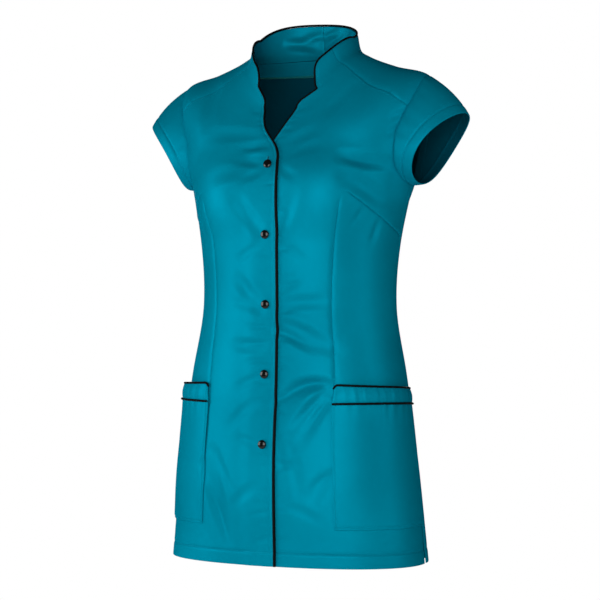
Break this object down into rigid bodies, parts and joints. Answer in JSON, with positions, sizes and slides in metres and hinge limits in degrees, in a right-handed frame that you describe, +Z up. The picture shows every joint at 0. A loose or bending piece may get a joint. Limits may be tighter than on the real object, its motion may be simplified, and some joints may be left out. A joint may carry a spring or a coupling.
{
  "type": "short-sleeved tunic",
  "caption": "Worn-shape short-sleeved work tunic with a notched stand collar, button front, darts, piped patch pockets and side slits.",
  "frame": {"origin": "on the body's upright axis at the level of the side of the neck, where the wearer's shoulders carry the garment", "axes": "+X towards the wearer's left, +Y towards the back, +Z up"},
  "size_m": [0.5024, 0.2507, 0.7814],
  "materials": {
    "teal_satin": "satin-weave cloth with a soft sheen",
    "black_piping": "matt woven piping",
    "black_button": "polished domed button"
  },
  "bodies": {
    "root": {"front_left": "teal_satin", "front_right": "teal_satin", "back": "teal_satin", "sleeve_left": "teal_satin", "sleeve_right": "teal_satin", "neck_facing": "teal_satin", "collar_facing_left": "teal_satin", "collar_facing_right": "teal_satin", "pocket_left": "teal_satin", "pocket_right": "teal_satin", "pocket_band_left": "teal_satin", "pocket_band_right": "teal_satin", "pocket_joint_piping_left": "black_piping", "pocket_joint_piping_right": "black_piping", "pocket_top_piping_left": "black_piping", "pocket_top_piping_right": "black_piping", "piping_left": "black_piping", "piping_right": "black_piping", "piping_collar": "black_piping", "button_1": "black_button", "button_2": "black_button", "button_3": "black_button", "button_4": "black_button", "button_5": "black_button"}
  },
  "joints": []
}
